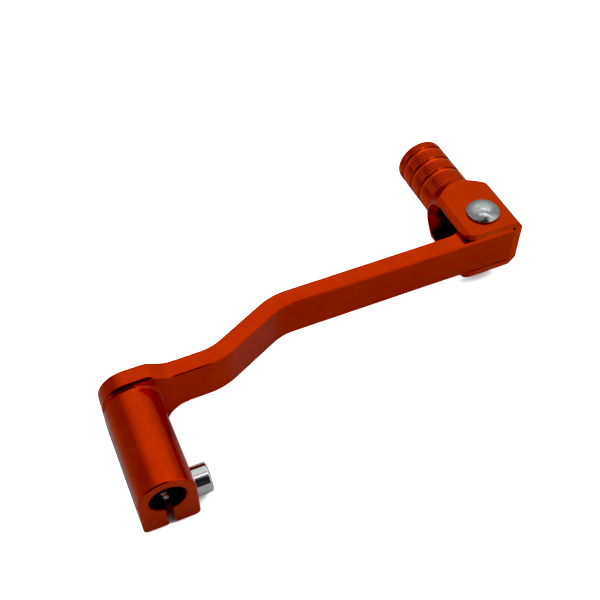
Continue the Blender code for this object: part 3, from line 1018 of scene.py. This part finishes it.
def area_light(name, way, distance, size, radiance, turn):
    """A soft box in the direction way from the object's middle, aimed at it."""
    middle = (ARM_LOW + ARM_HIGH) / 2
    data = bpy.data.lights.new(name, "AREA")
    data.shape = "RECTANGLE"
    data.size, data.size_y = size
    data.energy = radiance * pi * size[0] * size[1]
    light = bpy.data.objects.new(name, data)
    bpy.context.scene.collection.objects.link(light)
    light.location = middle + Vector(way).normalized() * distance
    light.rotation_euler = look_rotation(light.location, middle)
    light.rotation_euler.rotate_axis("Z", turn)
    return light


def floor_light(name, way, strength, floor):
    """A sun that lights one floor and that no glossy surface shows."""
    data = bpy.data.lights.new(name, "SUN")
    data.energy = strength
    data.angle = FLOOR_LIGHT_SPREAD
    light = bpy.data.objects.new(name, data)
    bpy.context.scene.collection.objects.link(light)
    light.location = way
    light.rotation_euler = look_rotation(way, (0, 0, 0))
    light.visible_glossy = False
    light_only(light, floor)


def light_only(light, thing):
    """Keeps a light to one object."""
    receiver = bpy.data.collections.new(light.name)
    receiver.objects.link(thing)
    light.light_linking.receiver_collection = receiver


def make_world():
    """A pale room, with a dark stretch in front and to the left where nothing is lit."""
    world = bpy.data.worlds.new("studio")
    bpy.context.scene.world = world
    world.use_nodes = True
    tree = world.node_tree
    background = tree.nodes["Background"]
    split = tree.nodes.new("ShaderNodeSeparateXYZ")
    way = tree.nodes.new("ShaderNodeTexCoord").outputs["Generated"]
    tree.links.new(way, split.inputs[0])

    def math(operation, first, second):
        node = tree.nodes.new("ShaderNodeMath")
        node.operation = operation
        for socket, value in zip(node.inputs, (first, second)):
            if isinstance(value, (int, float)):
                socket.default_value = value
            else:
                tree.links.new(value, socket)
        return node.outputs[0]

    def ramp(value, start, end, low, high):
        node = tree.nodes.new("ShaderNodeMapRange")
        node.interpolation_type = "SMOOTHSTEP"
        numbers = {"From Min": start, "From Max": end, "To Min": low, "To Max": high}
        for key, number in numbers.items():
            node.inputs[key].default_value = number
        tree.links.new(value, node.inputs["Value"])
        return node.outputs["Result"]

    def glow(centre, inner, outer):
        """1 within inner degrees of a direction, falling to 0 at outer degrees."""
        node = tree.nodes.new("ShaderNodeVectorMath")
        node.operation = "DOT_PRODUCT"
        tree.links.new(way, node.inputs[0])
        node.inputs[1].default_value = Vector(centre).normalized()
        return ramp(node.outputs["Value"], cos(radians(outer)), cos(radians(inner)), 0, 1)

    x, y, z = split.outputs
    forward = math("MAXIMUM", math("MULTIPLY", y, -1), 0.05)
    sideways = math("DIVIDE", x, forward)
    across = math("MULTIPLY", ramp(sideways, -4, -1.5, 0, 1), ramp(sideways, 0.2, 0.4, 1, 0))
    lean = math("SUBTRACT", z, math("MULTIPLY", math("MAXIMUM", sideways, -1), 0.25))
    upright = math("MULTIPLY", ramp(z, 0.03, 0.16, 0, 1), ramp(lean, 0.9, 0.97, 1, 0))
    dark = math("MULTIPLY", math("MULTIPLY", across, upright), ramp(y, -0.2, -0.06, 1, 0))
    above = math("MULTIPLY", glow((0.27, 0.4, 0.875), 0, 58), ramp(y, 0.02, 0.35, 0.12, 0.45))
    beside = math("MULTIPLY", glow((0.6, -0.76, 0.25), 15, 50), 0.4)
    beyond = math("MULTIPLY", glow((0.8, 0.6, 0), 0, 40), 0.07)
    open_room = math("ADD", math("ADD", math("ADD", above, beside), beyond), ROOM_LEVEL)
    lit = math("SUBTRACT", 1, math("MULTIPLY", dark, DARK_SHARE))
    tree.links.new(math("MULTIPLY", open_room, lit), background.inputs["Strength"])
    background.inputs["Color"].default_value = (1, 1, 1, 1)


def make_stage():
    make_camera()
    make_world()
    seen = make_floor("floor", plain_material("floor_pale", FLOOR_PALE, 0.7))
    seen.visible_glossy = False
    seen.visible_diffuse = False
    bounce = make_floor("floor_bounce", plain_material("floor_grey", FLOOR_GREY, 0.7))
    bounce.visible_camera = False
    bounce.location.z = -FLOOR_GAP
    for strip in STRIPS:
        area_light(*strip)
    floor_light(*BOUNCE_LIGHT, bounce)
    for light in SEEN_LIGHTS:
        floor_light(*light, seen)
    settings = bpy.context.scene.view_settings
    settings.view_transform = "Standard"
    settings.use_curve_mapping = True
    settings.curve_mapping.black_level = (BLACK_LEVEL, BLACK_LEVEL, BLACK_LEVEL)
    settings.curve_mapping.update()


# ------------------------------------------------------------------- main


def make_materials():
    """One material for each of the record's slots."""
    orange = anodised(
        "anodised_lever",
        deep=(0.66, 0.042, 0.0005),
        bright=(0.73, 0.052, 0.001),
        roughness=0.14,
        stretch=(5, 1, 1),
    )
    knurled = anodised(
        "anodised_peg",
        deep=(0.6, 0.042, 0.0005),
        bright=(0.68, 0.052, 0.001),
        roughness=0.15,
        stretch=(1, 1, 1),
    )
    # Painted sheen on the peg's faces square to the Y axis.
    painted_sheen_and_facing_rings(knurled, painted_sheen_lift=(1.35, 1.5, 1.6), centre=TURNING)
    # Painted shade in the knurl's valleys, painted sheen on its crests and smooth grooves.
    painted_knurl_shade_and_sheen(knurled, TURNING)
    satin = steel(
        "satin_zinc",
        dark=(0.5, 0.54, 0.54),
        light=(0.68, 0.73, 0.73),
        roughness=0.2,
        grain=1.3 * MM,
        marks=0.002 * MM,
    )
    wire = steel(
        "spring_steel",
        dark=(0.2, 0.2, 0.21),
        light=(0.4, 0.4, 0.41),
        roughness=0.3,
        grain=0.8 * MM,
        marks=0.002 * MM,
    )
    chrome = steel(
        "chrome",
        dark=(0.78, 0.8, 0.8),
        light=(0.86, 0.88, 0.88),
        roughness=0.06,
        grain=2.5 * MM,
        marks=0.0004 * MM,
    )
    return {
        "anodised_lever": orange.material,
        "anodised_peg": knurled.material,
        "satin_steel": satin,
        "spring_wire": wire,
        "chrome_bolt": chrome,
    }


def main():
    make_stage()
    materials = make_materials()
    pieces = [
        (make_lever_arm(), "lever", "lever_arm", "anodised_lever"),
        (make_toe_peg(), "peg", "toe_peg", "anodised_peg"),
        (make_rivet(), "peg", "pivot_rivet", "satin_steel"),
        (make_washer(), "peg", "rivet_washer", "satin_steel"),
        (make_spring(), None, "return_spring", "spring_wire"),  # winds between both bodies
        (make_bolt(), "lever", "pinch_bolt", "chrome_bolt"),
    ]
    for piece, body, node, slot in pieces:
        paint(piece, materials[slot])
        if body:
            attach(piece, body)
        else:
            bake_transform(piece)
        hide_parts(node)
    toe_peg = pieces[1][0]
    light_only(area_light(*PEG_ONLY_LIGHT), toe_peg)


main()
